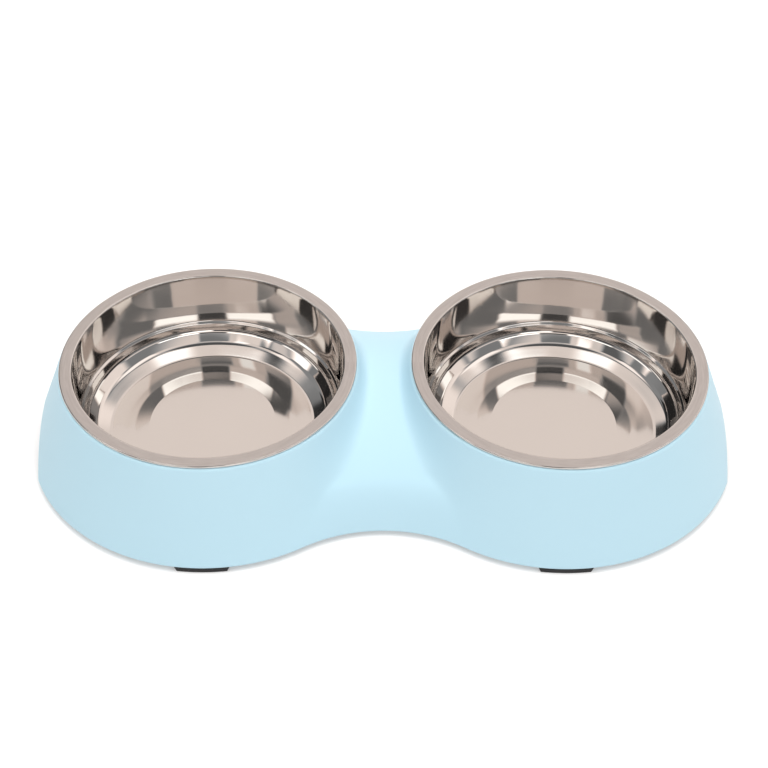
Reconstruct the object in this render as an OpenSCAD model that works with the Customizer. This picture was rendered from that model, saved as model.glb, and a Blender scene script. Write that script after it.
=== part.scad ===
// Double pet bowl: two drawn steel bowls that hang by their rims in one moulded stand,
// which rests on four rubber feet. Z is up and the feet stand on z = 0.
// The length runs along X, and the two long sides face -Y and +Y.

/* [Bowls] */
// Outside diameter of a bowl's rim
rim_d = 160; // [130:1:190]
// Gap between the two rims
rim_gap = 29.3; // [22:0.1:60]
// Width of the flange, from the rim's edge to the inside of the wall
flange_w = 7; // [6:0.1:10]
// Inside depth of a bowl, from its rim to its floor
bowl_depth = 45.5; // [40:0.5:50]
// Thickness of the steel sheet
steel_t = 0.7; // [0.5:0.1:1]
// Width of the hem that is folded under the flange
hem_w = 3; // [2:0.1:4]
// Height of the folded hem, from the flange's top to the seat
hem_h = 1.6; // [1.4:0.1:2.4]
// Inward draft of the upper wall
wall_draft = 1.8; // [0.5:0.1:3]
// Height of the band between the floor and the step in the wall
step_h = 14; // [11:0.5:18]
// Inward width of the step in the wall
step_w = 1.4; // [0.8:0.1:2.5]
// Inward reach of the curve between the wall and the floor
corner_w = 12.5; // [8:0.5:18]
// Width of the flat ring round the floor
floor_ring_w = 13.1; // [8:0.1:16]
// How far that ring sags between its two edges
ring_sag = 0.3; // [0.1:0.1:0.8]
// Width of the sloping ring inside it, round the pressed disc
disc_slope_w = 8.2; // [4:0.2:10]
// How far the pressed disc stands above the ring
disc_rise = 1; // [0.4:0.1:2]
// How far the disc's middle lies below its edge
disc_dish = 0.5; // [0:0.1:1]

/* [Stand] */
// Height of the seats above the stand's bottom edge
seat_h = 53.5; // [50:0.5:70]
// How far the top of the wall stands outside the rim
rim_cover = 0.5; // [0:0.1:2]
// How far the wall leans out from the seat down to the bottom edge
wall_flare = 19.5; // [12:0.5:26]
// Thickness of the moulded wall
wall_t = 2.5; // [2:0.1:3.5]
// How far the waist is drawn in from the full depth, on each side
waist_in = 26.8; // [18:0.2:34]
// How far the crown of the saddle lies below the seats
saddle_drop = 9; // [6:0.5:14]
// How much higher the saddle's crown is than its arch at the waist's outline
saddle_rise = 31; // [22:0.5:34]
// Softness of the saddle's front and rear shoulders
shoulder_h = 12; // [6:1:16]
// Softness of the blend between the saddle and the lobes
blend_h = 12; // [6:1:20]
// Radius of the edge at the top of the wall
edge_r = 1.5; // [0.8:0.1:2.5]
// Clearance between a bowl's wall and the hole that it hangs in
hole_gap = 1.3; // [0.6:0.1:2]
// Height of the collar that hangs from the seat round each hole
collar_h = 8; // [5:0.5:12]
// Thickness of the collar
collar_t = 2; // [1.5:0.1:3]

/* [Hand grips] */
// Width of the arch in the bottom edge at each end
grip_w = 74.8; // [60:0.2:90]
// Height of the arch
grip_h = 20.6; // [12:0.2:26]
// Shape of the arch, from 1 for straight flanks to 2 for a parabola
grip_power = 1.6; // [1.3:0.05:2]

/* [Feet] */
// Length of a rubber foot
foot_w = 29; // [22:0.5:40]
// Depth of a rubber foot, front to back
foot_d = 10; // [8:0.5:14]
// How far a foot stands below the stand's bottom edge
foot_h = 3; // [2:0.25:6]
// Set-back of a foot from the foot of the wall
foot_inset = 0.5; // [0:0.1:2]
// Slope of the foot's two ends, at the bottom
foot_taper = 1.3; // [0.5:0.1:2.5]
// Height of the plug on top of a foot
plug_h = 5; // [3:0.5:8]
// Shoulder between the foot's edge and its plug
plug_step = 2.2; // [1.5:0.1:3]
// Clearance round the plug in its pocket
plug_gap = 0.15; // [0.05:0.05:0.3]
// Thickness of the boss round and over the pocket
boss_t = 2; // [1.5:0.1:3]

/* [Hidden] */
$fn = 128;

// Sizes of the bowls
rim_r = rim_d / 2;
wall_r = rim_r - flange_w;
lower_wall_r = wall_r - wall_draft - step_w * 2;
floor_r = lower_wall_r - corner_w;
disc_edge_r = floor_r - floor_ring_w;
disc_r = disc_edge_r - disc_slope_w;
bowl_x = (rim_d + rim_gap) / 2;
rim_z = foot_h + seat_h + hem_h;

// Sizes of the stand, measured from its own bottom edge
top_r = rim_r + rim_cover;
base_r = top_r + wall_flare;
lean = wall_flare / seat_h;
slope_angle = atan(1 / lean);
hole_r = wall_r + steel_t + hole_gap;
waist_y = base_r - waist_in;
saddle_z = seat_h - saddle_drop;
saddle_r = (waist_y * waist_y + saddle_rise * saddle_rise) / (2 * saddle_rise);
wall_across = wall_t * sqrt(1 + lean * lean);

// The waist is an arc that runs tangent to both lobes
waist_r = (bowl_x * bowl_x + waist_y * waist_y - base_r * base_r) / (2 * waist_in);
waist_centre_y = waist_y + waist_r;
tangent_angle = atan2(waist_centre_y, bowl_x);
grip_angle = grip_w / 2 / base_r * 180 / PI;

// Inside radii of a bowl's bends, from the flange to the disc
flange_bend_r = 0.9;
step_top_r = 1.6;
step_foot_r = 1.4;
wall_bend_r = 7;
corner_bend_r = 8;
floor_bend_r = 5;
ring_sag_r = 20;
slope_bend_r = 20;
disc_bend_r = 1;

// The curve between a bowl's wall and floor: where it starts and bends, as shares of
// the step's height, and how far in it bends, as a share of the curve's reach
curve_start = 0.6;
curve_bend = 0.24;
curve_reach = 0.4;

// How finely the moulded skin is drawn
rays_mid = 12;
rays_arc = 6;
rays_free = 22;
rays_grip = 8;
outer_steps = 14;
inner_steps = 8;

// How far the skin runs in behind the edge of the hole, which is cut out of it afterwards
core_in = 4;
core_r = hole_r - core_in;

// Smallest radius of the inner skin's top edge
thin_edge_r = 0.3;

// Ray angles closer than this count as one
same_angle = 0.001;

// How far cuts and roots run past the faces that they meet
over = 1;
root = 0.5;

// Direction of a vector
function unit(v) = v / norm(v);

// Points of the arc that rounds the corner c between p and n
function rounded(p, c, n, r, steps = 4) =
    let (
        u = unit(p - c),
        v = unit(n - c),
        half = acos(u * v) / 2,
        m = c + unit(u + v) * r / sin(half),
        from = c + u * r / tan(half) - m,
        to = c + v * r / tan(half) - m,
        a = atan2(from[1], from[0]),
        swing = atan2(from[0] * to[1] - from[1] * to[0], from * to)
    )
    [for (i = [0:steps]) m + r * [cos(a + swing * i / steps), sin(a + swing * i / steps)]];

// A path with each inner corner [x, y, radius] rounded
function rounded_path(corners) =
    let (
        last = len(corners) - 1,
        p = [for (c = corners) [c[0], c[1]]]
    )
    concat(
        [p[0]],
        [for (i = [1:last - 1]) each rounded(p[i - 1], p[i], p[i + 1], corners[i][2])],
        [p[last]]
    );

// Left-hand normal of the segment from a to b
function normal(a, b) = unit([a[1] - b[1], b[0] - a[0]]);

// The same path moved sideways by t
function moved_path(path, t) =
    let (last = len(path) - 1)
    [for (i = [0:last])
        let (
            before = i == 0 ? normal(path[0], path[1]) : normal(path[i - 1], path[i]),
            after = i == last ? before : normal(path[i], path[i + 1]),
            m = unit(before + after)
        )
        path[i] + m * t / (m * after)
    ];

// Bowls

// Inside of the bowl from the flange to the centre: [radius, height, corner radius]
bowl_inside = rounded_path([
    [rim_r - hem_h / 2, 0, 0],
    [wall_r, 0, flange_bend_r],
    [wall_r - wall_draft, step_h - bowl_depth, step_top_r],
    [wall_r - wall_draft - step_w, step_h - step_w - bowl_depth, step_foot_r],
    [lower_wall_r, step_h * curve_start - bowl_depth, wall_bend_r],
    [lower_wall_r - corner_w * curve_reach, step_h * curve_bend - bowl_depth, corner_bend_r],
    [floor_r, -bowl_depth, floor_bend_r],
    [(floor_r + disc_edge_r) / 2, -bowl_depth - ring_sag, ring_sag_r],
    [disc_edge_r, -bowl_depth, slope_bend_r],
    [disc_r, disc_rise - bowl_depth, disc_bend_r],
    [0, disc_rise - disc_dish - bowl_depth, 0]
]);

// Underside of the sheet, from the centre back to the flange
bowl_outside = let (under = moved_path(bowl_inside, steel_t), last = len(under) - 1)
    [for (i = [last:-1:1]) under[i]];

// The hem, from under the flange round to its top
bowl_hem = concat(
    [[rim_r - hem_w, -steel_t], [rim_r - hem_w, -hem_h]],
    [for (a = [-90:15:75]) [rim_r - hem_h / 2 + hem_h / 2 * cos(a), hem_h / 2 * (sin(a) - 1)]]
);

module bowl(side) {
    translate([side * bowl_x, 0, rim_z])
        rotate_extrude()
            polygon(concat(bowl_inside, bowl_outside, bowl_hem));
}

// Moulded stand

// Height of a wall that leans in from its foot and rounds over into a flat top, d in from the foot
function crest(d, top, r) =
    let (
        tangent = r * tan(slope_angle / 2),
        flat_d = top * lean + tangent
    )
    d >= flat_d ? top :
    d <= top * lean - tangent * cos(slope_angle) ? d / lean :
    top - r + sqrt(r * r - (flat_d - d) * (flat_d - d));

// How far the corner between two heights is softened where they meet, over k: at most k / 4
function softness(a, b, k) = k <= 0 ? 0 : pow(max(k - abs(a - b), 0), 2) / (4 * k);

// Height of the skin at r from a bowl's axis, at an angle from the line to the other bowl.
// The inner skin lies deeper: across is its distance from the outer one measured level.
// The saddle is an arch from front to rear that meets the waist's leaning wall, d in from its foot.
// Its shoulder is softened by no more than the height that is left above the bottom edge.
function skin_z(r, angle, deeper, across) =
    let (
        lobe = crest(base_r - across - r, seat_h - deeper, max(edge_r - deeper, thin_edge_r)),
        x = bowl_x - r * cos(angle),
        y = waist_centre_y - r * abs(sin(angle)),
        d = norm([x, y]) - waist_r,
        wall = (d - across) / lean,
        arch = saddle_z - saddle_r
            + sqrt(max(pow(saddle_r - deeper, 2) - pow(waist_y - d, 2), 0)),
        low = min(wall, arch),
        saddle = low - softness(wall, arch, min(shoulder_h, 4 * low)),
        blend = min(blend_h, (wall - saddle) / 2, seat_h - deeper - saddle)
    )
    abs(angle) >= tangent_angle ? lobe : max(lobe, saddle) + softness(lobe, saddle, blend);

// Height of the bottom edge, which rises in an arch at the outer end
function edge_z(angle) =
    let (s = (180 - abs(angle)) / grip_angle)
    s >= 1 ? 0 : grip_h * (1 - pow(s, grip_power));

// Distance from a bowl's axis to the outer end of a ray
function reach(angle, mid, across) =
    let (
        a = abs(angle),
        along = bowl_x * cos(a) + waist_centre_y * sin(a),
        squared = pow(bowl_x, 2) + pow(waist_centre_y, 2) - pow(waist_r + across, 2)
    )
    a <= mid ? bowl_x / cos(a) :
    a < tangent_angle ? along - sqrt(along * along - squared) :
    base_r - across - lean * edge_z(angle);

// Ray angles on one half: to the middle plane, to the waist, to the round wall and to the arch
function half_rays(mid) = concat(
    [for (i = [0:rays_mid - 1]) mid * i / rays_mid],
    [for (i = [0:rays_arc - 1]) mid + (tangent_angle - mid) * i / rays_arc],
    [for (i = [0:rays_free - 1])
        tangent_angle + (180 - grip_angle - tangent_angle) * i / rays_free],
    [for (i = [0:rays_grip]) 180 - grip_angle + grip_angle * i / rays_grip]
);

rays_half = rays_mid + rays_arc + rays_free + rays_grip;
rays = 2 * rays_half;

// All the ray angles round a bowl
function ray_angles(mid) =
    let (h = half_rays(mid))
    concat(h, [for (i = [rays_half - 1:-1:1]) -h[i]]);

// Points of one skin round one bowl, ray by ray from the seat's core to the bottom edge
function skin_points(side, steps, deeper, across) =
    let (
        mid = atan2(waist_y - across, bowl_x),
        seat_edge = top_r - across - edge_r
    )
    [for (angle = ray_angles(mid))
        let (end = reach(angle, mid, across))
        for (j = [-1:steps])
            let (
                r = j < 0 ? core_r : seat_edge + (end - seat_edge) * (1 - cos(180 * j / steps)) / 2,
                z = abs(angle) > mid - same_angle && j == steps ? edge_z(angle)
                    : skin_z(r, angle, deeper, across)
            )
            [side * (bowl_x - r * cos(angle)), r * sin(angle), z]
    ];

outer_row = outer_steps + 2;
inner_row = inner_steps + 2;
outer_count = rays * outer_row;
side_count = outer_count + rays * inner_row;

// True for a ray that ends on the middle plane, where both sides share their points
function on_middle(i) = i <= rays_mid || i >= rays - rays_mid;

// Number of a point on the outer and the inner skin: half is 0 on the right and 1 on the left
function outer_at(half, i, j) =
    let (k = i % rays)
    (on_middle(k) && j == outer_row - 1 ? 0 : half * side_count) + k * outer_row + j;
function inner_at(half, i, j) =
    let (k = i % rays)
    (on_middle(k) && j == inner_row - 1 ? 0 : half * side_count)
        + outer_count + k * inner_row + j;

// Two triangles of a four-sided patch, turned over on the left half
function patch(half, a, b, c, d) = half == 0 ? [[a, b, c], [a, c, d]] : [[c, b, a], [d, c, a]];

function shell_faces(half) = [
    for (i = [0:rays - 1]) each concat(
        [for (j = [0:outer_row - 2]) each patch(half, outer_at(half, i, j),
            outer_at(half, i, j + 1), outer_at(half, i + 1, j + 1), outer_at(half, i + 1, j))],
        [for (j = [0:inner_row - 2]) each patch(half, inner_at(half, i + 1, j),
            inner_at(half, i + 1, j + 1), inner_at(half, i, j + 1), inner_at(half, i, j))],
        patch(half, inner_at(half, i, 0), outer_at(half, i, 0),
            outer_at(half, i + 1, 0), inner_at(half, i + 1, 0)),
        i < rays_mid || i >= rays - rays_mid ? [] :
            patch(half, outer_at(half, i, outer_row - 1), inner_at(half, i, inner_row - 1),
                inner_at(half, i + 1, inner_row - 1), outer_at(half, i + 1, outer_row - 1))
    )
];

// The thin moulded skin: two lobes with a saddle between them, open below
module shell() {
    polyhedron(
        points = concat(
            skin_points(1, outer_steps, 0, 0), skin_points(1, inner_steps, wall_t, wall_across),
            skin_points(-1, outer_steps, 0, 0), skin_points(-1, inner_steps, wall_t, wall_across)
        ),
        faces = concat(shell_faces(0), shell_faces(1)),
        convexity = 8
    );
}

// Places of the four feet: left and right of the middle, front and rear
module at_feet(side, end) {
    translate([side * bowl_x, 0, 0])
        mirror([0, end > 0 ? 0 : 1, 0])
            children();
}

foot_outer_r = base_r - foot_inset;
foot_inner_r = foot_outer_r - foot_d;

// Outline of the plug, grown by gap: a slot with round ends
module plug_outline(gap) {
    across = foot_d - 2 * plug_step + 2 * gap;
    along = foot_w - 2 * plug_step + 2 * gap;
    translate([0, (foot_outer_r + foot_inner_r) / 2]) {
        square([along - across, across], center = true);
        for (s = [-1, 1])
            translate([s * (along - across) / 2, 0])
                circle(d = across);
    }
}

// Boss that carries a foot, grown into the foot of the wall
module foot_boss() {
    h = plug_h + 2 * plug_gap + boss_t;
    half_wall = wall_across / 2;
    intersection() {
        translate([-foot_w / 2 - boss_t / 2, foot_inner_r - boss_t / 2, 0])
            cube([foot_w + boss_t, foot_d + boss_t, h]);
        cylinder(h = h, r1 = base_r - half_wall, r2 = base_r - half_wall - lean * h);
    }
}

module stand() {
    color("lightblue")
        translate([0, 0, foot_h])
            difference() {
                union() {
                    shell();
                    for (side = [-1, 1]) {
                        translate([side * bowl_x, 0, seat_h - collar_h])
                            cylinder(h = collar_h - wall_t / 2, r = hole_r + collar_t);
                        for (end = [-1, 1])
                            at_feet(side, end)
                                foot_boss();
                    }
                }
                for (side = [-1, 1]) {
                    translate([side * bowl_x, 0, seat_h - collar_h - over])
                        cylinder(h = collar_h + 2 * over, r = hole_r);
                    for (end = [-1, 1])
                        at_feet(side, end)
                            translate([0, 0, -over])
                                linear_extrude(plug_h + 2 * plug_gap + over)
                                    plug_outline(plug_gap);
                }
            }
}

// Rubber feet

module foot(side, end) {
    color("dimgray")
        at_feet(side, end) {
            intersection() {
                linear_extrude(foot_h)
                    difference() {
                        circle(r = foot_outer_r);
                        circle(r = foot_inner_r);
                    }
                translate([0, foot_outer_r + over, 0])
                    rotate([90, 0, 0])
                        linear_extrude(foot_d + foot_w / 2)
                            polygon([
                                [foot_taper - foot_w / 2, 0], [foot_w / 2 - foot_taper, 0],
                                [foot_w / 2, foot_h], [-foot_w / 2, foot_h]
                            ]);
            }
            translate([0, 0, foot_h - root])
                linear_extrude(plug_h + root)
                    plug_outline(0);
        }
}

module bowl_left() {
    color("silver") bowl(-1);
}

module bowl_right() {
    color("silver") bowl(1);
}

module foot_front_left() {
    foot(-1, -1);
}

module foot_front_right() {
    foot(1, -1);
}

module foot_rear_left() {
    foot(-1, 1);
}

module foot_rear_right() {
    foot(1, 1);
}

stand();
bowl_left();
bowl_right();
foot_front_left();
foot_front_right();
foot_rear_left();
foot_rear_right();
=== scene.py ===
import math

import bmesh
import bpy
import numpy as np
from mathutils import Matrix, Vector


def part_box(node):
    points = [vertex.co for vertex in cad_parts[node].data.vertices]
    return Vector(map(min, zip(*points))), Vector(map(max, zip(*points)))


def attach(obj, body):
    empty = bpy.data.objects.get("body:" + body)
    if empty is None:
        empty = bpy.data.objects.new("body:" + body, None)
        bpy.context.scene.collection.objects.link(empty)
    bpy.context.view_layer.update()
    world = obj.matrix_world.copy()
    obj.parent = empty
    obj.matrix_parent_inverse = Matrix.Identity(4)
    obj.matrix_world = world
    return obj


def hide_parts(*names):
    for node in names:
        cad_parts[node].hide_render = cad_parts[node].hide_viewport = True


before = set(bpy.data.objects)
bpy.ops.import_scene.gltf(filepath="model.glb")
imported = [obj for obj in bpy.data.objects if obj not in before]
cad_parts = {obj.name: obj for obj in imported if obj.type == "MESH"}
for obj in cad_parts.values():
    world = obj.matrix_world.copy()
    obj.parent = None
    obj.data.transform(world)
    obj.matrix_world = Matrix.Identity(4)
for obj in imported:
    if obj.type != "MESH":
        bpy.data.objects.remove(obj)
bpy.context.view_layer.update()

MM = 0.001


# Sizes read from the frame, in metres

def box_size(node):
    low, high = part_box(node)
    return high - low


STAND_LOW, STAND_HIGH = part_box("stand")
FOOT_LOW, FOOT_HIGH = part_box("foot_front_right")
EDGE_Z = STAND_LOW.z
SEAT_Z = STAND_HIGH.z - EDGE_Z
BASE_R = box_size("stand").y / 2
BOWL_X = (FOOT_LOW.x + FOOT_HIGH.x) / 2
RIM_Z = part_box("bowl_right")[1].z
RIM_R = round(box_size("bowl_right").y / 2, 3)

# Sizes that the frame's boxes do not hold, in metres: bowls
FLANGE_W = 7.0 * MM
STEEL_T = 0.7 * MM
HEM_W = 3.0 * MM
HEM_H = 1.6 * MM
WALL_DRAFT = 1.8 * MM
BOWL_DEPTH = 45.5 * MM
STEP_H = 14.0 * MM
STEP_W = 1.4 * MM
CORNER_W = 12.5 * MM
FLOOR_RING_W = 13.1 * MM
RING_SAG = 0.3 * MM
DISC_SLOPE_W = 8.2 * MM
DISC_RISE = 1.0 * MM
DISC_DISH = 0.5 * MM

# Roundings of the bowl's section, from the rim to the centre
NECK_R = 0.9 * MM
STEP_OUTER_R = 1.6 * MM
STEP_INNER_R = 1.4 * MM
CORNER_HIGH_R = 7 * MM
CORNER_LOW_R = 8 * MM
FLOOR_EDGE_R = 5 * MM
RING_R = 60 * MM
SLOPE_FOOT_R = 20 * MM
DISC_EDGE_R = 1 * MM
DISC_DISH_R = 300 * MM

# Where the corner's two bends lie, as shares of the step's height and of the corner's width
CORNER_HIGH = 0.6
CORNER_LOW = 0.24
CORNER_SPLIT = 0.4

# Sizes of the stand
RIM_COVER = 0.5 * MM
WALL_T = 2.5 * MM
WAIST_IN = 26.8 * MM
SADDLE_DROP = 9.0 * MM
SADDLE_RISE = 31.0 * MM
SHOULDER_H = 12.0 * MM
BLEND_H = 12.0 * MM
EDGE_R = 1.5 * MM
HOLE_GAP = 1.3 * MM
COLLAR_H = 8.0 * MM
COLLAR_T = 2.0 * MM
LIP_R = 0.8 * MM
THIN_EDGE_R = 0.3 * MM
GRIP_W = 74.8 * MM
GRIP_H = 20.6 * MM
GRIP_POWER = 1.6

# Sizes of the feet
FOOT_W = 29.0 * MM
FOOT_D = 10.0 * MM
FOOT_INSET = 0.5 * MM
FOOT_TAPER = 1.3 * MM
FOOT_EDGE_R = 0.45 * MM
PLUG_H = 5.0 * MM
BOSS_T = 2.0 * MM

# Worked out
WALL_R = RIM_R - FLANGE_W
HOLE_R = WALL_R + STEEL_T + HOLE_GAP
TOP_R = RIM_R + RIM_COVER
LEAN = (BASE_R - TOP_R) / SEAT_Z
SLOPE = math.atan(1 / LEAN)
WAIST_Y = BASE_R - WAIST_IN
SADDLE_Z = SEAT_Z - SADDLE_DROP
SADDLE_R = (WAIST_Y ** 2 + SADDLE_RISE ** 2) / (2 * SADDLE_RISE)
WAIST_R = (BOWL_X ** 2 + WAIST_Y ** 2 - BASE_R ** 2) / (2 * WAIST_IN)
WAIST_CENTRE_Y = WAIST_Y + WAIST_R
TANGENT = math.atan2(WAIST_CENTRE_Y, BOWL_X)
GRIP_ANGLE = GRIP_W / 2 / BASE_R
WALL_ACROSS = WALL_T * math.sqrt(1 + LEAN * LEAN)


# Mesh helpers

def add_object(name, points, faces, smooth=True):
    mesh = bpy.data.meshes.new(name)
    mesh.from_pydata([tuple(map(float, p)) for p in points], [], [tuple(f) for f in faces])
    mesh.validate()
    mesh.update()
    if smooth:
        mesh.shade_smooth()
    else:
        mesh.shade_flat()
    piece = bpy.data.objects.new(name, mesh)
    bpy.context.scene.collection.objects.link(piece)
    return piece


def mark_sharp(mesh, angle):
    """Keeps edges sharper than the angle crisp."""
    mesh.set_sharp_from_angle(angle=angle)


def unit(v):
    return v / np.linalg.norm(v)


def direction(angle):
    return np.array([math.cos(angle), math.sin(angle)])


def rounded(before, corner, after, radius, steps):
    """Points of the arc that rounds the corner between two other points."""
    back, ahead = unit(before - corner), unit(after - corner)
    half = math.acos(max(-1.0, min(1.0, float(back @ ahead)))) / 2
    centre = corner + unit(back + ahead) * radius / math.sin(half)
    first = corner + back * radius / math.tan(half) - centre
    last = corner + ahead * radius / math.tan(half) - centre
    start = math.atan2(first[1], first[0])
    swing = math.atan2(first[0] * last[1] - first[1] * last[0], first @ last)
    turns = [start + swing * i / steps for i in range(steps + 1)]
    return [centre + radius * direction(turn) for turn in turns]


def rounded_path(corners, steps):
    """A path through corners given as (x, y, radius), where the two ends have no radius."""
    places = [np.array(corner[:2], float) for corner in corners]
    path = [places[0]]
    for i in range(1, len(places) - 1):
        path += rounded(places[i - 1], places[i], places[i + 1], corners[i][2], steps)
    return path + [places[-1]]


def left_of(start, end):
    """The unit vector to the left of the way from start to end."""
    way = unit(end - start)
    return np.array([-way[1], way[0]])


def moved_path(path, distance):
    """The same path moved to its left."""
    moved = []
    for i, place in enumerate(path):
        before = left_of(path[0], path[1]) if i == 0 else left_of(path[i - 1], place)
        after = before if i == len(path) - 1 else left_of(place, path[i + 1])
        middle = unit(before + after)
        moved.append(place + middle * distance / (middle @ after))
    return moved


# Bowls

ROUND_STEPS = 320
SECTION_STEPS = 16
DISC_SHARES = (0.66, 0.33, 0.1)
HEM_DEGREES = 165
HEM_STEPS = 12
INSIDE_RUN = 1.5 * MM
OUTSIDE_RUN = 8 * MM
SATIN_FROM = WALL_R + 0.8 * MM
SATIN_TO = RIM_R - HEM_H / 2 + 0.15 * MM
SATIN_DOWN_TO = RIM_Z - HEM_H * 1.1
STEEL_SHARP = math.radians(50)


def disc_height(share):
    """Height of the dished disc at a share of its radius, from the rim."""
    return DISC_RISE - DISC_DISH * (1 - share * share) - BOWL_DEPTH


def bowl_paths():
    """Inside path from the rim to the centre, and the rest of the section, as (radius, height)."""
    foot_r = WALL_R - WALL_DRAFT - STEP_W * 2
    floor_r = foot_r - CORNER_W
    slope_r = floor_r - FLOOR_RING_W
    disc_r = slope_r - DISC_SLOPE_W
    inside = rounded_path([
        (RIM_R - HEM_H / 2, 0),
        (WALL_R, 0, NECK_R),
        (WALL_R - WALL_DRAFT, STEP_H - BOWL_DEPTH, STEP_OUTER_R),
        (WALL_R - WALL_DRAFT - STEP_W, STEP_H - STEP_W - BOWL_DEPTH, STEP_INNER_R),
        (foot_r, STEP_H * CORNER_HIGH - BOWL_DEPTH, CORNER_HIGH_R),
        (foot_r - CORNER_W * CORNER_SPLIT, STEP_H * CORNER_LOW - BOWL_DEPTH, CORNER_LOW_R),
        (floor_r, -BOWL_DEPTH, FLOOR_EDGE_R),
        ((floor_r + slope_r) / 2, -BOWL_DEPTH - RING_SAG, RING_R),
        (slope_r, -BOWL_DEPTH, SLOPE_FOOT_R),
        (disc_r, DISC_RISE - BOWL_DEPTH, DISC_EDGE_R),
        *[(disc_r * share, disc_height(share), DISC_DISH_R) for share in DISC_SHARES],
        (0, disc_height(0))], SECTION_STEPS)
    outside = moved_path(inside, STEEL_T)[:0:-1]
    hem = [np.array([RIM_R - HEM_W, -STEEL_T]), np.array([RIM_R - HEM_W, -HEM_H])]
    for i in range(HEM_STEPS + 1):
        a = math.radians(-90 + i * HEM_DEGREES / HEM_STEPS)
        hem.append(np.array([RIM_R - HEM_H / 2 + HEM_H / 2 * math.cos(a), HEM_H / 2 * (math.sin(a) - 1)]))
    return inside, outside, hem


def divided(path, longest):
    """The path with its long straight runs cut into shorter ones."""
    cut = [path[0]]
    for start, end in zip(path, path[1:]):
        count = max(1, int(np.linalg.norm(end - start) / longest))
        cut += [start + (end - start) * (i + 1) / count for i in range(count)]
    return cut


def spun(profile, inner_end, centres):
    """The profile turned round the axis. After inner_end it is closed by a centre point above and below."""
    points, faces = [], []
    count = len(profile)
    for turn in range(ROUND_STEPS):
        angle = 2 * math.pi * turn / ROUND_STEPS
        points += [(r * math.cos(angle), r * math.sin(angle), z) for r, z in profile]
    top_centre = len(points)
    points += [(0, 0, z) for z in centres]
    for turn in range(ROUND_STEPS):
        here, there = turn * count, (turn + 1) % ROUND_STEPS * count
        for i in range(count):
            if i == inner_end:
                faces.append((here + i, there + i, top_centre))
                faces.append((there + i + 1, here + i + 1, top_centre + 1))
            else:
                k = (i + 1) % count
                faces.append((here + i, there + i, there + k, here + k))
    return points, faces


def choose_satin(mesh, side):
    """Gives the top of the flange the second material."""
    for face in mesh.polygons:
        r = math.hypot(face.center.x - side * BOWL_X, face.center.y)
        on_flange = SATIN_FROM < r < SATIN_TO and face.center.z > SATIN_DOWN_TO
        face.material_index = 1 if on_flange else 0


def make_bowl(name, side):
    inside, outside, hem = bowl_paths()
    inside = divided(inside, INSIDE_RUN)
    outside = divided(outside, OUTSIDE_RUN)
    profile = inside[:-1] + outside[1:] + hem
    points, faces = spun(profile, len(inside) - 2, (inside[-1][1], outside[0][1]))
    points = [(side * BOWL_X + x, y, RIM_Z + z) for x, y, z in points]
    bowl = add_object(name + "_steel", points, faces)
    mark_sharp(bowl.data, STEEL_SHARP)
    choose_satin(bowl.data, side)
    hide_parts(name)
    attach(bowl, name)
    return bowl


# Stand

LEAST_BLEND = 0.01 * MM
SHOULDER_GROWTH = 4
ANGLE_SLACK = 1e-9
JOIN_WITHIN = 1e-6
PLASTIC_SHARP = math.radians(40)


def crest(d, top, r):
    """Height, at d inside its foot, of a wall that leans in and rounds over into a flat top."""
    tangent = r * math.tan(SLOPE / 2)
    flat_d = top * LEAN + tangent
    arc = top - r + np.sqrt(np.maximum(r ** 2 - (flat_d - d) ** 2, 0))
    wall_end = top * LEAN - tangent * math.cos(SLOPE)
    return np.where(d >= flat_d, top, np.where(d <= wall_end, d / LEAN, arc))


def softness(a, b, width):
    """How far the corner between two heights is softened where they are less than width apart."""
    soft = np.maximum(width - np.abs(a - b), 0) ** 2 / (4 * np.maximum(width, LEAST_BLEND))
    return np.where(width < LEAST_BLEND, 0, soft)


def skin_z(r, angle, deeper, across):
    """Height of the skin at r from a bowl's axis, at an angle from the line to the other bowl."""
    lobe = crest(BASE_R - across - r, SEAT_Z - deeper, max(EDGE_R - deeper, THIN_EDGE_R))
    if abs(angle) >= TANGENT - ANGLE_SLACK:
        return lobe
    x = BOWL_X - r * math.cos(angle)
    y = r * abs(math.sin(angle))
    d = np.hypot(x, WAIST_CENTRE_Y - y) - WAIST_R
    wall = (d - across) / LEAN
    arch = SADDLE_Z - SADDLE_R + np.sqrt(np.maximum((SADDLE_R - deeper) ** 2 - (WAIST_Y - d) ** 2, 0))
    low = np.minimum(wall, arch)
    saddle = low - softness(wall, arch, np.minimum(SHOULDER_H, SHOULDER_GROWTH * low))
    blend = np.minimum(np.minimum(BLEND_H, (wall - saddle) / 2), SEAT_Z - deeper - saddle)
    return np.maximum(lobe, saddle) + softness(lobe, saddle, blend)


def edge_z(angle):
    """Height of the bottom edge, which rises in an arch at the outer end."""
    share = (math.pi - abs(angle)) / GRIP_ANGLE
    return 0.0 if share >= 1 else GRIP_H * (1 - share ** GRIP_POWER)


def middle_angle(across, up):
    """Angle of the ray that meets the waist's outline on the middle plane, up above the bottom."""
    return math.atan2(WAIST_Y - across - LEAN * up, BOWL_X)


def reach(angle, across, up):
    """Distance from a bowl's axis to the end of a ray, up above the bottom edge."""
    a = abs(angle)
    if a <= middle_angle(across, up) + ANGLE_SLACK:
        return BOWL_X / math.cos(a)
    if a < TANGENT:
        along = BOWL_X * math.cos(a) + WAIST_CENTRE_Y * math.sin(a)
        squared = BOWL_X ** 2 + WAIST_CENTRE_Y ** 2 - (WAIST_R + across + LEAN * up) ** 2
        return along - math.sqrt(along * along - squared)
    return BASE_R - across - LEAN * (edge_z(angle) + up)


def outward(angle, r):
    """Plan direction that points out of the wall at the end of a ray, in the bowl's own axes."""
    if abs(angle) >= TANGENT:
        return direction(angle)
    waist_centre = np.array([BOWL_X, math.copysign(WAIST_CENTRE_Y, angle)])
    return unit(waist_centre - r * direction(angle))


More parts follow.
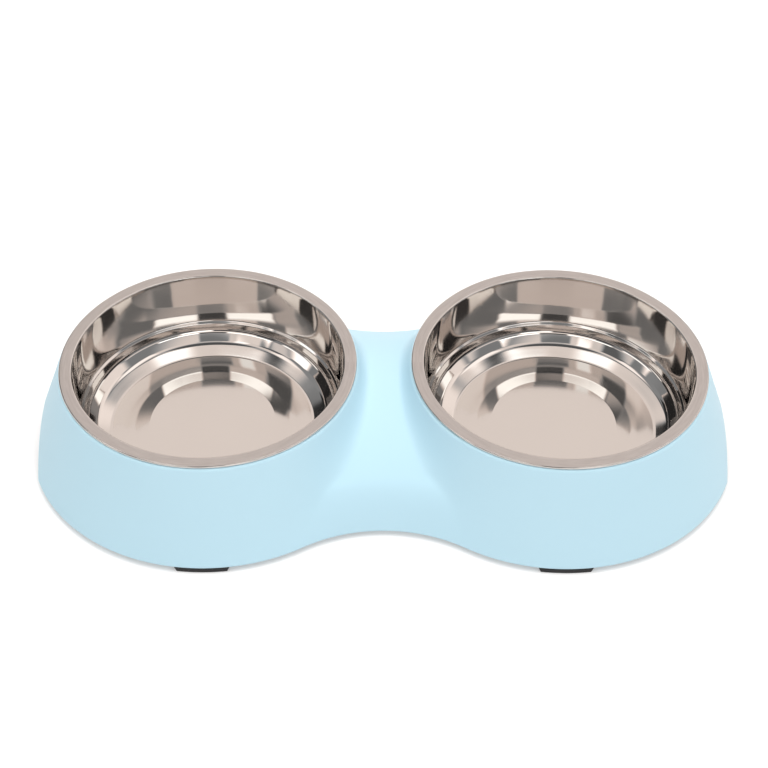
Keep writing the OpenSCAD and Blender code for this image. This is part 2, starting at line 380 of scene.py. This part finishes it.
RAY_COUNTS = (40, 28, 84, 40)
OUTER_STEPS = 44
INNER_STEPS = 20
INNER_LIP_R = 0.4 * MM
HOLE_EDGE_R = 0.8 * MM
ARC_STEPS = 5


def ray_angles(middle):
    """Angles on one half: to the middle plane, to the waist, to the round wall and to the arch."""
    stops = (0, middle, TANGENT, math.pi - GRIP_ANGLE, math.pi)
    half = []
    for a, b, n in zip(stops, stops[1:], RAY_COUNTS):
        half += [a + (b - a) * i / n for i in range(n)]
    half.append(math.pi)
    return half + [-a for a in half[-2:0:-1]]


def crowded(n):
    """Steps from 0 to 1 that lie closer together at both ends."""
    return (1 - np.cos(np.pi * np.arange(n + 1) / n)) / 2


def seat_section(angle):
    """From the foot of the collar up the hole and round on to the seat."""
    flat = [(HOLE_R, SEAT_Z - COLLAR_H)]
    for i in range(ARC_STEPS + 1):
        a = math.pi / 2 * i / ARC_STEPS
        flat.append((HOLE_R + HOLE_EDGE_R * (1 - math.cos(a)), SEAT_Z - HOLE_EDGE_R * (1 - math.sin(a))))
    return [(r * math.cos(angle), r * math.sin(angle), z) for r, z in flat]


def skin_section(angle, steps, deeper, across, up):
    """From the seat's edge down the skin to its end."""
    start = TOP_R - EDGE_R - across
    r = start + (reach(angle, across, up) - start) * crowded(steps)
    z = skin_z(r, angle, deeper, across)
    return [(a * math.cos(angle), a * math.sin(angle), b) for a, b in zip(r, z)]


def lip_section(angle_out, angle_in, outer_up):
    """Round the bottom edge, from the outer skin's end to the inner one's."""
    tilt = math.atan(LEAN)
    low = edge_z(angle_out)
    r = reach(angle_out, 0, outer_up)
    out = outward(angle_out, r)
    centre = r * direction(angle_out) - out * LIP_R * math.cos(tilt)
    points = []
    for i in range(1, ARC_STEPS + 1):
        a = tilt - (math.pi / 2 + tilt) * i / ARC_STEPS
        x, y = centre + out * LIP_R * math.cos(a)
        points.append((x, y, low + LIP_R * (1 + math.sin(a))))
    r = reach(angle_in, WALL_ACROSS, INNER_LIP_R)
    out = outward(angle_in, r)
    end = r * direction(angle_in)
    for i in range(ARC_STEPS):
        a = math.pi / 2 * i / ARC_STEPS
        x, y = end + out * INNER_LIP_R * (1 - math.sin(a))
        points.append((x, y, edge_z(angle_in) + INNER_LIP_R * (1 - math.cos(a))))
    return points


def underside_section(angle):
    """From the seat's underside down the outside of the collar."""
    r = HOLE_R + COLLAR_T
    return [(r * math.cos(angle), r * math.sin(angle), z) for z in (SEAT_Z - WALL_T, SEAT_Z - COLLAR_H)]


def make_stand():
    """The moulded skin as one closed mesh: a half swept round each bowl, joined on the middle plane."""
    outer_up = LIP_R * (1 + math.sin(math.atan(LEAN)))
    outs = ray_angles(middle_angle(0, outer_up))
    ins = ray_angles(middle_angle(WALL_ACROSS, INNER_LIP_R))
    rays, mid = len(outs), RAY_COUNTS[0]
    points = []
    # Rays that end on the middle plane have no lip: tidy_mesh drops the unused points that stand for it
    for i, (a, b) in enumerate(zip(outs, ins)):
        middle_ray = i < mid or i > rays - mid
        lip = [(0, 0, 0)] * (2 * ARC_STEPS) if middle_ray else lip_section(a, b, outer_up)
        points += seat_section(a) + skin_section(a, OUTER_STEPS, 0, 0, outer_up) + lip
        points += skin_section(b, INNER_STEPS, WALL_T, WALL_ACROSS, INNER_LIP_R)[::-1]
        points += underside_section(b)
    row = len(points) // rays
    # Where the outer skin ends and the inner one starts among the points of a ray
    skin_end = ARC_STEPS + 2 + OUTER_STEPS
    inner_start = skin_end + 2 * ARC_STEPS + 1
    faces = []
    for i in range(rays):
        k = (i + 1) % rays
        across_middle = i < mid or i >= rays - mid
        for j in range(row):
            if across_middle and skin_end <= j < inner_start:
                continue
            m = (j + 1) % row
            faces.append((i * row + j, i * row + m, k * row + m, k * row + j))
    count = len(points)
    right = [(BOWL_X - x, y, EDGE_Z + z) for x, y, z in points]
    left = [(-x, y, z) for x, y, z in right]
    faces += [tuple(count + v for v in reversed(f)) for f in faces]
    stand = add_object("stand_moulding", right + left, faces)
    tidy_mesh(stand)
    mark_sharp(stand.data, PLASTIC_SHARP)
    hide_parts("stand")
    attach(stand, "stand")
    return stand


def tidy_mesh(piece):
    """Joins points that coincide, drops unused ones and points all faces outwards."""
    work = bmesh.new()
    work.from_mesh(piece.data)
    bmesh.ops.remove_doubles(work, verts=work.verts, dist=JOIN_WITHIN)
    bmesh.ops.delete(work, geom=[v for v in work.verts if not v.link_faces], context="VERTS")
    bmesh.ops.recalc_face_normals(work, faces=work.faces)
    work.to_mesh(piece.data)
    work.free()


# Feet and their bosses

BEVEL_ANGLE = math.radians(40)


def sector_block(name, side, end, levels, inner_r, steps=12):
    """A block that follows the round wall: levels are (height, half width, outer radius)."""
    loops = []
    for z, half, outer_r in levels:
        loop = []
        for r, ways in ((outer_r, range(steps + 1)), (inner_r, range(steps, -1, -1))):
            for i in ways:
                x = -half + 2 * half * i / steps
                loop.append((side * BOWL_X + x, end * math.sqrt(r * r - x * x), z))
        loops.append(loop)
    count, top = len(loops[0]), len(loops) - 1
    faces = [tuple(range(count))[::-1], tuple(range(top * count, (top + 1) * count))]
    for level in range(top):
        low, high = level * count, (level + 1) * count
        faces += [(low + i, low + (i + 1) % count, high + (i + 1) % count, high + i) for i in range(count)]
    block = add_object(name, [place for loop in loops for place in loop], faces, smooth=False)
    tidy_mesh(block)
    return block


def bevel(piece, width, segments=3):
    mod = piece.modifiers.new("edges", "BEVEL")
    mod.width, mod.segments, mod.limit_method = width, segments, "ANGLE"
    mod.angle_limit = BEVEL_ANGLE
    piece.data.shade_smooth()
    mod.harden_normals = True


def make_foot(name, side, end):
    outer_r = BASE_R - FOOT_INSET
    half = FOOT_W / 2
    foot = sector_block(name + "_rubber", side, end,
                        [(0, half - FOOT_TAPER, outer_r), (EDGE_Z, half, outer_r)], outer_r - FOOT_D)
    bevel(foot, FOOT_EDGE_R)
    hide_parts(name)
    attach(foot, "stand")
    inner_r = outer_r - FOOT_D - BOSS_T / 2
    mid_wall = BASE_R - WALL_ACROSS / 2
    high = PLUG_H + BOSS_T
    boss = sector_block(name.replace("foot", "boss"), side, end,
                        [(EDGE_Z, half + BOSS_T / 2, mid_wall),
                         (EDGE_Z + high, half + BOSS_T / 2, mid_wall - LEAN * high)], inner_r)
    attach(boss, "stand")
    return foot, boss


# Materials

PLASTIC_DEEP = (0.44, 0.645, 0.745)
PLASTIC_PALE = (0.46, 0.665, 0.765)
STEEL_DEEP = (0.635, 0.60, 0.575)
STEEL_PALE = (0.655, 0.62, 0.595)
SATIN_DEEP = (0.41, 0.385, 0.375)
SATIN_PALE = (0.61, 0.58, 0.565)
RUBBER_DEEP = (0.005, 0.005, 0.0055)
RUBBER_PALE = (0.012, 0.012, 0.013)
FLOOR_DEEP = (0.67, 0.67, 0.67)
FLOOR_PALE = (0.69, 0.69, 0.69)
WHITE = (1.0, 1.0, 1.0)


class Nodes:
    """Short hand for building the node tree of a material or of the world."""

    def __init__(self, owner, shader="Principled BSDF"):
        owner.use_nodes = True
        self.owner = owner
        self.tree = owner.node_tree
        self.shader = self.tree.nodes[shader]

    def add(self, kind, **settings):
        node = self.tree.nodes.new(kind)
        for key, value in settings.items():
            setattr(node, key, value)
        return node

    def link(self, a, b):
        self.tree.links.new(a, b)

    def feed(self, socket, value):
        """Links a value to a socket of the shader."""
        self.link(value, self.shader.inputs[socket])

    def math(self, operation, a, b=0.0):
        node = self.add("ShaderNodeMath", operation=operation)
        for i, v in enumerate((a, b)):
            if isinstance(v, (int, float)):
                node.inputs[i].default_value = v
            else:
                self.link(v, node.inputs[i])
        return node.outputs[0]

    def noise(self, vector, scale, detail=2.0):
        node = self.add("ShaderNodeTexNoise")
        node.inputs["Scale"].default_value = scale
        node.inputs["Detail"].default_value = detail
        self.link(vector, node.inputs["Vector"])
        return node.outputs["Fac"]

    def ramp(self, fac, low, high, start=0.0, end=1.0, kind="LINEAR"):
        node = self.add("ShaderNodeMapRange", interpolation_type=kind)
        for name, value in (("From Min", start), ("From Max", end), ("To Min", low), ("To Max", high)):
            node.inputs[name].default_value = value
        self.link(fac, node.inputs["Value"])
        return node.outputs["Result"]

    def mix(self, fac, a, b):
        node = self.add("ShaderNodeMix", data_type="RGBA")
        for name, v in (("A", a), ("B", b)):
            if isinstance(v, tuple):
                node.inputs[name].default_value = (*v, 1)
            else:
                self.link(v, node.inputs[name])
        self.link(fac, node.inputs["Factor"])
        return node.outputs["Result"]

    def bump(self, height, strength, distance):
        node = self.add("ShaderNodeBump")
        node.inputs["Strength"].default_value = strength
        node.inputs["Distance"].default_value = distance
        self.link(height, node.inputs["Height"])
        self.feed("Normal", node.outputs["Normal"])

    def position(self):
        return self.add("ShaderNodeTexCoord").outputs["Object"]

    def set(self, **values):
        for key, value in values.items():
            socket = self.shader.inputs[key.replace("_", " ")]
            socket.default_value = (*value, 1) if isinstance(value, tuple) else value


def new_material(name):
    return Nodes(bpy.data.materials.new(name))


def dress(piece, *materials):
    for material in materials:
        piece.data.materials.append(material)


def plastic_material():
    """Pale blue moulded plastic: a faint cloud in the colour and a fine satin grain."""
    nodes = new_material("blue_plastic")
    where = nodes.position()
    cloud = nodes.noise(where, scale=14, detail=3)
    patches = nodes.noise(where, scale=60, detail=4)
    grain = nodes.noise(where, scale=2600)
    nodes.feed("Base Color", nodes.mix(cloud, PLASTIC_DEEP, PLASTIC_PALE))
    nodes.feed("Roughness", nodes.ramp(patches, low=0.42, high=0.52))
    nodes.bump(grain, strength=0.05, distance=0.1 * MM)
    nodes.set(IOR=1.46)
    return nodes.owner


def round_position(nodes):
    """Radius, angle and height round the nearer bowl's axis."""
    split = nodes.add("ShaderNodeSeparateXYZ")
    nodes.link(nodes.position(), split.inputs[0])
    x = nodes.math("SUBTRACT", nodes.math("ABSOLUTE", split.outputs[0]), BOWL_X)
    y = split.outputs[1]
    r = nodes.math("SQRT", nodes.math("ADD", nodes.math("MULTIPLY", x, x), nodes.math("MULTIPLY", y, y)))
    return r, nodes.math("ARCTAN2", y, x), split.outputs[2]


def brushed_vector(nodes, along):
    """Coordinates in which a radian round the axis is only as long as along, for turned lines."""
    r, angle, z = round_position(nodes)
    join = nodes.add("ShaderNodeCombineXYZ")
    nodes.link(r, join.inputs[0])
    nodes.link(nodes.math("MULTIPLY", angle, along), join.inputs[1])
    nodes.link(z, join.inputs[2])
    return join.outputs[0]


# Heights between which the steel turns from the floor's duller polish to the walls' bright one
DULL_BELOW = RIM_Z - BOWL_DEPTH + 1 * MM
BRIGHT_ABOVE = RIM_Z - BOWL_DEPTH + 4 * MM


def polished_steel():
    """Bright pressed steel with faint turned lines, a little duller on the bowl's floor."""
    nodes = new_material("polished_steel")
    lines = nodes.noise(brushed_vector(nodes, along=0.004), scale=2400, detail=3)
    cloud = nodes.noise(nodes.position(), scale=30)
    height = round_position(nodes)[2]
    dull = nodes.ramp(height, low=0.06, high=0.0, start=DULL_BELOW, end=BRIGHT_ABOVE, kind="SMOOTHSTEP")
    nodes.feed("Base Color", nodes.mix(cloud, STEEL_DEEP, STEEL_PALE))
    nodes.feed("Roughness", nodes.math("ADD", nodes.ramp(lines, low=0.02, high=0.06), dull))
    nodes.bump(lines, strength=0.02, distance=0.05 * MM)
    nodes.set(Metallic=1.0)
    return nodes.owner


def satin_steel():
    """The flange: fine turned satin."""
    nodes = new_material("satin_steel")
    lines = nodes.noise(brushed_vector(nodes, along=0.006), scale=1100, detail=4)
    nodes.feed("Base Color", nodes.mix(lines, SATIN_DEEP, SATIN_PALE))
    nodes.feed("Roughness", nodes.ramp(lines, low=0.30, high=0.42))
    nodes.bump(lines, strength=0.10, distance=0.05 * MM)
    nodes.set(Metallic=1.0)
    return nodes.owner


def rubber_material():
    """Matt black rubber with a coarse grain."""
    nodes = new_material("black_rubber")
    where = nodes.position()
    cloud = nodes.noise(where, scale=400, detail=3)
    patches = nodes.noise(where, scale=900)
    grain = nodes.noise(where, scale=1500, detail=3)
    nodes.feed("Base Color", nodes.mix(cloud, RUBBER_DEEP, RUBBER_PALE))
    nodes.feed("Roughness", nodes.ramp(patches, low=0.55, high=0.75))
    nodes.bump(grain, strength=0.3, distance=0.1 * MM)
    return nodes.owner


def floor_material():
    """A white sheet that gives off a little light, which keeps the shadows faint."""
    nodes = new_material("studio_floor")
    cloud = nodes.noise(nodes.position(), scale=3)
    nodes.feed("Base Color", nodes.mix(cloud, FLOOR_DEEP, FLOOR_PALE))
    nodes.set(Roughness=0.9, Emission_Color=WHITE, Emission_Strength=0.27)
    return nodes.owner


# Camera, lights and floor

# Fitted to the photograph: place in metres, lens and sensor in millimetres
CAMERA_PLACE = (-10.38 * MM, -722.87 * MM, 703.95 * MM)
CAMERA_PITCH = math.radians(42.474)
CAMERA_YAW = math.radians(0.828)
CAMERA_ROLL = math.radians(0.751)
CAMERA_LENS = 84.375
CAMERA_SENSOR = 36.0


def make_camera():
    data = bpy.data.cameras.new("camera")
    data.sensor_width, data.lens = CAMERA_SENSOR, CAMERA_LENS
    camera = bpy.data.objects.new("camera", data)
    bpy.context.scene.collection.objects.link(camera)
    bpy.context.scene.camera = camera
    pitch_cos, pitch_sin = math.cos(CAMERA_PITCH), math.sin(CAMERA_PITCH)
    yaw_cos, yaw_sin = math.cos(CAMERA_YAW), math.sin(CAMERA_YAW)
    roll_cos, roll_sin = math.cos(CAMERA_ROLL), math.sin(CAMERA_ROLL)
    ahead = Vector((yaw_sin * pitch_cos, yaw_cos * pitch_cos, -pitch_sin))
    level = Vector((yaw_cos, -yaw_sin, 0))
    above = level.cross(ahead)
    right, up = level * roll_cos + above * roll_sin, above * roll_cos - level * roll_sin
    turn = Matrix((right, up, -ahead)).transposed().to_4x4()
    camera.matrix_world = Matrix.Translation(CAMERA_PLACE) @ turn


def hang_softbox(name, place, size, power):
    """A soft light aimed at the origin, which the steel and the plastic do not mirror."""
    data = bpy.data.lights.new(name, "AREA")
    data.shape, data.size, data.size_y = "RECTANGLE", size[0], size[1]
    data.energy = power
    lamp = bpy.data.objects.new(name, data)
    bpy.context.scene.collection.objects.link(lamp)
    lamp.location = place
    lamp.rotation_mode = "QUATERNION"
    lamp.rotation_quaternion = (-Vector(place)).to_track_quat("-Z", "Y")
    lamp.visible_glossy = False


# Half of the floor's side, in metres
FLOOR_HALF = 4.0
# Name, place and size in metres, power in watts
SOFTBOXES = (
    ("top_softbox", (0.0, 0.0, 2.2), (2.0, 2.0), 38),
    ("front_fill", (0.0, -2.4, 1.0), (2.4, 1.2), 8),
)

# Brightness of the room, of the sweep and of the dark line beside it
ROOM = 0.30
SWEEP = 0.97
SWEEP_EDGE = 0.10
# The sweep, in parts of a unit direction: its half width grows with how far behind and how high
# the direction points, it fades in over SWEEP_START, and the dark line lies just past its edge
SPREAD_BEHIND = 0.38
SPREAD_UP = 0.35
SPREAD_SOFT = 0.04
SWEEP_START = (-0.07, -0.03)
LINE_OFFSET = 0.06
LINE_WIDTH = 0.085
# Tints of dim, middling and strong light, and the brightness where one turns into the next
DIM_TINT = (0.96, 1.0, 1.03)
MIDDLE_TINT = (1.09, 0.99, 0.93)
STRONG_TINT = (0.97, 1.0, 0.99)
DIM_TO_MIDDLE = (0.35, 0.95)
MIDDLE_TO_STRONG = (1.3, 1.8)
# What stands round the object: bearing from the front, to the right positive, and height,
# both as low and high limits in degrees, then brightness and softness of the edges in degrees
WALLS = (
    (-181, 181, 45, 62, 0.95, 8),
    (66, 118, 44, 58, 1.5, 5),
    (-118, -78, 47, 60, 1.45, 5),
    (-12, 18, 53, 60, 0.70, 5),
    (-17, 14, 47, 54, 0.26, 4),
    (-39, -25, 46, 58, 1.8, 5),
    (-75, 75, 66, 96, 0.12, 8),
    (70, 181, 64, 96, 0.60, 8),
    (-181, -70, 64, 96, 0.55, 8),
)
PANELS = (
    (88, 152, 18, 36, 1.1, 8),
    (100, 152, 30, 42, 1.2, 8),
    (-130, -96, 26, 48, 0.35, 8),
    (-158, -126, 20, 34.5, 0.03, 3),
    (-96, -64, 24, 32.5, 1.8, 4),
    (-77, -51, 40, 51, 0.16, 4),
    (-80, -58, 34, 40, 0.85, 4),
    (58, 84, 6, 13, 1.7, 5),
    (48, 84, 24, 32, 0.95, 5),
    (-54, -18, 5, 25, 0.04, 5),
    (-18, 38, 5, 18, 0.4, 5),
    (28, 48, 14, 25.5, 0.5, 5),
    (-20, 1, 10, 26, 0.05, 4),
    (1, 28, 18, 25.5, 2.6, 4),
    (-38, 32, 25.5, 35, 1.03, 2),
    (-48, -13, 40, 46, 1.0, 4),
    (-56, -13, 35, 40.5, 2.7, 4),
    (12, 52, 35, 41.5, 2.7, 4),
    (-12, 13, 34.5, 45, 0.10, 3),
    (98, 122, 69, 84, 1.9, 6),
    (-125, -104, 69, 84, 1.9, 6),
)


def window(nodes, value, low, high, soft):
    """1 between the two limits, fading to 0 over the softness, in degrees."""
    low, high, half = math.radians(low), math.radians(high), math.radians(soft) / 2
    rise = nodes.ramp(value, 0, 1, low - half, low + half, "SMOOTHSTEP")
    fall = nodes.ramp(value, 1, 0, high - half, high + half, "SMOOTHSTEP")
    return nodes.math("MULTIPLY", rise, fall)


def blend(nodes, share, a, b):
    """a where share is 0 and b where it is 1."""
    return nodes.math("ADD", a, nodes.math("MULTIPLY", share, nodes.math("SUBTRACT", b, a)))


def hang_panels(nodes, light, bearing, height, panels):
    """Lays each panel over what hangs behind it."""
    for left, right, low, high, value, soft in panels:
        across = window(nodes, bearing, left, right, soft)
        share = nodes.math("MULTIPLY", across, window(nodes, height, low, high, soft))
        light = blend(nodes, share, light, value)
    return light


def make_surroundings():
    """The studio beyond the floor: a white sweep behind and overhead, walls, and lit panels in front."""
    world = bpy.data.worlds.new("studio")
    bpy.context.scene.world = world
    nodes = Nodes(world, "Background")
    split = nodes.add("ShaderNodeSeparateXYZ")
    nodes.link(nodes.add("ShaderNodeTexCoord").outputs["Generated"], split.inputs[0])
    x, y, z = split.outputs
    bearing = nodes.math("ARCTAN2", x, nodes.math("MULTIPLY", y, -1.0))
    height = nodes.math("ARCSINE", z)
    light = hang_panels(nodes, ROOM, bearing, height, WALLS)
    spread = nodes.math("MULTIPLY", nodes.math("MAXIMUM", y, 0.0), SPREAD_BEHIND)
    half_width = nodes.math("ADD", spread, nodes.math("MULTIPLY", z, SPREAD_UP))
    past = nodes.math("SUBTRACT", nodes.math("ABSOLUTE", x), half_width)
    within = nodes.ramp(past, 1, 0, -SPREAD_SOFT, SPREAD_SOFT, "SMOOTHSTEP")
    rearward = nodes.ramp(y, 0, 1, *SWEEP_START, "SMOOTHSTEP")
    light = blend(nodes, nodes.math("MULTIPLY", within, rearward), light, SWEEP)
    beside = nodes.math("ABSOLUTE", nodes.math("SUBTRACT", past, LINE_OFFSET))
    near = nodes.ramp(beside, 1, 0, 0.0, LINE_WIDTH, "SMOOTHSTEP")
    light = blend(nodes, nodes.math("MULTIPLY", near, nodes.math("GREATER_THAN", y, 0.0)), light, SWEEP_EDGE)
    light = hang_panels(nodes, light, bearing, height, PANELS)
    warm = nodes.mix(nodes.ramp(light, 0, 1, *DIM_TO_MIDDLE), DIM_TINT, MIDDLE_TINT)
    tint = nodes.mix(nodes.ramp(light, 0, 1, *MIDDLE_TO_STRONG), warm, STRONG_TINT)
    nodes.feed("Color", tint)
    nodes.feed("Strength", light)


def make_studio():
    make_surroundings()
    corners = [(x * FLOOR_HALF, y * FLOOR_HALF, 0) for x, y in ((-1, -1), (1, -1), (1, 1), (-1, 1))]
    floor = add_object("studio_floor_sheet", corners, [(0, 1, 2, 3)], smooth=False)
    dress(floor, floor_material())
    for softbox in SOFTBOXES:
        hang_softbox(*softbox)
    bpy.context.scene.view_settings.view_transform = "Standard"


make_camera()
plastic, rubber = plastic_material(), rubber_material()
polished, satin = polished_steel(), satin_steel()
dress(make_stand(), plastic)
for bowl_name, bowl_side in (("bowl_left", -1), ("bowl_right", 1)):
    dress(make_bowl(bowl_name, bowl_side), polished, satin)
for place_name, place_end in (("front", -1), ("rear", 1)):
    for side_name, foot_side in (("left", -1), ("right", 1)):
        foot_piece, boss_piece = make_foot(f"foot_{place_name}_{side_name}", foot_side, place_end)
        dress(foot_piece, rubber)
        dress(boss_piece, plastic)
make_studio()
